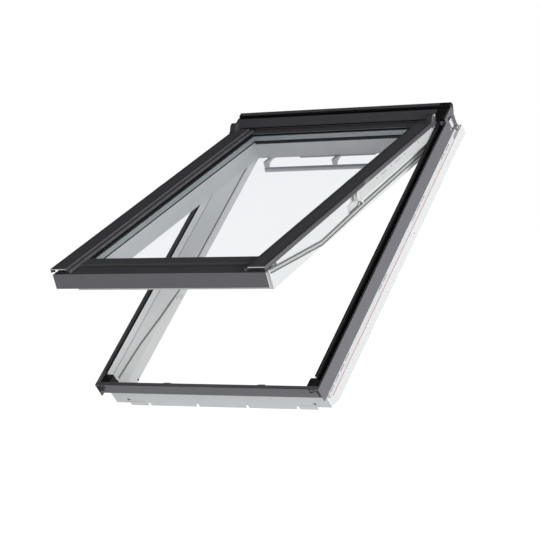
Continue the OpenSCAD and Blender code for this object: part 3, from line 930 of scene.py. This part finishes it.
@dataclass
class SashDetails:
    """Seals, hooks, a lug, and painted shade on the covers, the pane head and the flange ends that
    ride on the sash.
    """

    shop: Workshop
    seal: tuple[Pair, ...] = (
        (54.0, -10.0), (200.0, -32.0), (336.0, -52.0), (588.0, -46.0), (1057.0, -42.0)
    )
    ledge_n: float = -9.5
    rail_s: float = 1040.0
    lower_s: float = 583.5
    hook_x: float = 341.8
    # the run from s 508 to 552 lies under the tongue's lower edge as a painted shadow gap; the
    # rest curls up as the hook
    hook: tuple[Pair, ...] = (
        (508.0, -36.5), (530.0, -36.5), (552.0, -36.0), (564.0, -32.0), (571.0, -25.0),
        (575.0, -17.0), (578.0, -10.0),
    )
    tail: tuple[Pair, ...] = ((571.0, -25.0), (578.0, -32.0), (584.0, -42.0))
    lug: tuple[Pair, ...] = (
        (580.0, -14.0), (598.0, -14.0), (600.0, -34.0), (592.0, -42.0), (584.0, -36.0)
    )

    def band(self, shape: Shape, middle: float, height: float, proud: float) -> None:
        """Adds one band along the seal's line.

        Args:
            shape: the shape to add it to.
            middle: how far its middle lies above the line.
            height: its height.
            proud: how far it stands out of the rail.
        """
        low = [(s, n + middle - height / 2) for s, n in self.seal]
        high = [(s, n + middle + height / 2) for s, n in reversed(self.seal)]
        shape.prism(low + high, SASH_OUT - 0.2, SASH_OUT + proud)

    def side_seals(self) -> None:
        """Makes the two seal lines of each side with a light bead between them."""
        dark = Shape()
        self.band(dark, 5.0, 4.6, 1.8)
        self.band(dark, -7.0, 4.0, 1.4)
        dark.mirrored()
        self.shop.make("side_seal_lines", dark, Look.GREY_RUBBER, "sash", Place.OPENED,
                       ["side_seals"])
        light = Shape()
        self.band(light, -1.0, 7.0, 1.0)
        light.mirrored()
        self.shop.make("side_seal_beads", light, Look.GREY_LINE_PALE, "sash", Place.OPENED)

    def side_shade_and_lines(self) -> None:
        """Lays the painted side shade and the pressed lines, in painted groove shade, along each
        lower cover.
        """
        self.shop.make("lower_cover_side_shade", cover_side_shade((-8.8, self.lower_s)), Look.COVER_EDGE,
                       "sash", Place.OPENED)
        self.shop.make("lower_cover_lines", cover_lines((2.0, self.lower_s)), Look.COVER_DEEP,
                       "sash", Place.OPENED)

    def pane_head_shadow(self) -> None:
        """Paints a black shadow line under the inner pane at the head."""
        shape = Shape().box((-290.5, 290.5), (self.rail_s - 1.0, self.rail_s + 0.2),
                            (self.ledge_n - 6.0, self.ledge_n + 1.5), 0.2)
        self.shop.make("pane_head_shadow_line", shape, Look.RUBBER, "sash", Place.OPENED)

    def hooks(self) -> None:
        """Adds the dark spring hook, whose straight run along the tongue's lower edge is a painted
        shadow gap, and the white lug beside each pivot plate.
        """
        path = [(self.hook_x, s, n) for s, n in self.hook]
        tail = [(self.hook_x, s, n) for s, n in self.tail]
        shape = Shape().sweep(path, 1.7, 8).sweep(tail, 1.9, 8).mirrored()
        self.shop.make("pivot_hooks_and_shadow_gaps", shape, Look.GREY_RUBBER, "sash", Place.OPENED)
        lug = Shape().prism(self.lug, SASH_OUT, 342.6, "X", 0.5).mirrored()
        self.shop.make("pivot_lugs", lug, Look.WHITE_FITTING, "sash", Place.OPENED)

    def corner_shadow_lines(self) -> None:
        """Paints the shadow in the gap between the front flange and its white end caps, with
        near-black strips.
        """
        shape = Shape().box((364.3, 365.5), (-7.75, -7.2), (-31.5, 12.5))
        shape.box((352.0, 368.0), (-9.2, -8.6), (22.0, 28.0), 0.2)
        shape.mirrored()
        self.shop.make("flange_end_shadow_lines", shape, Look.COVER_DEEP, "sash", Place.OPENED)

    def build(self) -> None:
        """Makes all of them."""
        self.side_seals()
        self.side_shade_and_lines()
        self.pane_head_shadow()
        self.hooks()
        self.corner_shadow_lines()


@dataclass
class CoverJoint:
    """The flexible fold that closes each side cover where it parts at the pivot."""

    shop: Workshop
    start: float = 584.0
    end: float = 612.0
    lift: float = 0.25
    skin: float = 0.5
    cuts: int = 7

    def build(self) -> None:
        """Makes one fold for each side, cuts its long edges, and bakes its placing into the mesh.
        """
        a, b = self.lift, self.lift - self.skin
        outer = [(COVER_OUT + a, 19.5), (COVER_OUT + a, 32.0 + a), (STRIP_IN - a, 32.0 + a),
                 (STRIP_IN - a, 26.5 + a), (LIP_IN - a, 26.5 + a), (LIP_IN - a, 18.2)]
        inner = [(LIP_IN - b, 18.2), (LIP_IN - b, 26.5 + b), (STRIP_IN - b, 26.5 + b),
                 (STRIP_IN - b, 32.0 + b), (COVER_OUT + b, 32.0 + b), (COVER_OUT + b, 19.5)]
        for side in Side:
            shape = Shape()
            line = [(x * side.value, n) for x, n in outer + inner]
            shape.prism(line, self.start, self.end, "S")
            long = [e for e in shape.bm.edges if abs(e.verts[0].co.y - e.verts[1].co.y) > 1.0]
            bmesh.ops.subdivide_edges(shape.bm, edges=long, cuts=self.cuts, use_grid_fill=True)
            piece = self.shop.make(f"cover_joint_{side.word}", shape, Look.COVER, None,
                                   Place.OPENED)
            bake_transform(piece)


# ---- studio ----


@dataclass
class Studio:
    """The camera, lamps, floor and air around the window."""

    camera_flat: Point = (3947.2, -3787.2, 4351.0)
    view_flat: Point = (-0.54206, 0.58754, -0.60081)
    down_flat: Point = (-0.0090, -0.7190, -0.6950)
    lens: float = 161.2
    air: float = 0.065
    cove: float = 0.51

    def camera(self) -> None:
        """Places the camera."""
        data = bpy.data.cameras.new("camera")
        data.lens = self.lens
        data.sensor_width = 36.0
        data.clip_end = 100.0
        data.clip_start = 0.1
        obj = bpy.data.objects.new("camera", data)
        bpy.context.scene.collection.objects.link(obj)
        turn = Matrix.Rotation(PITCH, 3, "X")
        place = Place.FRAME.matrix @ Vector(self.camera_flat)
        ahead = (turn @ Vector(self.view_flat)).normalized()
        up = -(turn @ Vector(self.down_flat)).normalized()
        right = ahead.cross(up).normalized()
        up = right.cross(ahead).normalized()
        obj.matrix_world = Matrix.Translation(place) @ Matrix(
            (right, up, -ahead)
        ).transposed().to_4x4()
        bpy.context.scene.camera = obj

    def lamp(self, name: str, place: Point, aim: Point, size: float, power: float) -> None:
        """Adds one soft lamp.

        Args:
            name: the lamp's name.
            place: where it is, in metres.
            aim: the point it faces.
            size: its side in metres.
            power: its power in watts.
        """
        data = bpy.data.lights.new(name, "AREA")
        data.size = size
        data.energy = power
        obj = bpy.data.objects.new(name, data)
        bpy.context.scene.collection.objects.link(obj)
        ray = Vector(aim) - Vector(place)
        obj.matrix_world = Matrix.Translation(place) @ ray.to_track_quat("-Z", "Y").to_matrix(
        ).to_4x4()

    def floor_finish(self) -> bpy.types.Material:
        """A pale floor that looks white and throws back only a little light."""
        tree = Tree("pale_floor")
        seen = tree.node("ShaderNodeLightPath", output="Is Camera Ray")
        matt = tree.node("ShaderNodeBsdfDiffuse", {}, {"Color": (0.45, 0.45, 0.46, 1.0)})
        glow = tree.node(
            "ShaderNodeEmission",
            {},
            {"Color": (1.0, 1.0, 1.0, 1.0), "Strength": seen * (1.0 - self.cove) + self.cove},
        )
        return tree.surface(tree.node("ShaderNodeAddShader", {}, {0: matt, 1: glow}))

    def room(self) -> None:
        """Adds the floor and the even light of a white room."""
        low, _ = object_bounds()
        mesh = bpy.data.meshes.new("floor")
        shape = bmesh.new()
        bmesh.ops.create_grid(shape, x_segments=1, y_segments=1, size=40.0)
        bmesh.ops.translate(shape, vec=(0, 0, low[2] - 0.02), verts=shape.verts)
        shape.to_mesh(mesh)
        shape.free()
        floor = bpy.data.objects.new("floor", mesh)
        bpy.context.scene.collection.objects.link(floor)
        mesh.materials.append(self.floor_finish())
        floor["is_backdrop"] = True
        world = bpy.data.worlds.new("room")
        world.use_nodes = True
        nodes, links = world.node_tree.nodes, world.node_tree.links
        seen = nodes.new("ShaderNodeLightPath").outputs["Is Camera Ray"]
        level = nodes.new("ShaderNodeMapRange")
        links.new(seen, level.inputs["Value"])
        level.inputs["To Min"].default_value = self.air
        level.inputs["To Max"].default_value = 1.0
        nodes["Background"].inputs["Color"].default_value = (1.0, 1.0, 1.0, 1.0)
        links.new(level.outputs["Result"], nodes["Background"].inputs["Strength"])
        bpy.context.scene.world = world

    def build(self) -> None:
        """Sets the whole studio up."""
        self.camera()
        self.room()
        self.lamp("key", (6.0, 1.5, 1.0), (0.0, 0.2, 0.5), 4.0, 280.0)
        self.lamp("fill", (4.2, -3.0, 0.25), (-0.35, 0.2, 0.2), 2.0, 60.0)
        bpy.context.scene.view_settings.view_transform = "Standard"


def main() -> None:
    """Builds the scene in order and reports each piece."""
    logging.basicConfig(level=logging.INFO, format="%(name)s: %(message)s")
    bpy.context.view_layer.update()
    paint = Paint()
    dress(paint)
    shop = Workshop(paint)
    FrameDetails(shop).build()
    HoodDetails(shop).build()
    ArmDetails(shop).build()
    SashDetails(shop).build()
    CoverJoint(shop).build()
    LOG.info("made %d pieces", len(shop.pieces))
    Studio().build()


if __name__ == "__main__":
    main()
